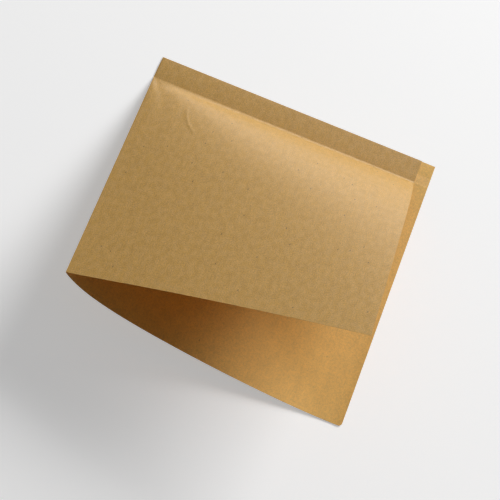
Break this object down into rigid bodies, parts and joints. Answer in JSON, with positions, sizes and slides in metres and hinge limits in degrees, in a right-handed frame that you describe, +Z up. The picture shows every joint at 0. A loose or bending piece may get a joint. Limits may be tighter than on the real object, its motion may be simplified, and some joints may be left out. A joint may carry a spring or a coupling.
{
  "type": "kraft paper corner bag",
  "caption": "Flat kraft paper pocket folded along its left side and glued along the top, open along the bottom and right, lying on its back with the front bowed up.",
  "frame": {"origin": "middle of the closed bag's outline, on the surface that it lies on", "axes": "+X from the folded side to the open side, +Y from the mouth to the glued seal, +Z up out of the back panel"},
  "size_m": [0.17, 0.18, 0.0701],
  "materials": {
    "kraft_paper": "machine-glazed outside, matt inside"
  },
  "bodies": {
    "root": {"kraft_bag": "kraft_paper"}
  },
  "joints": []
}
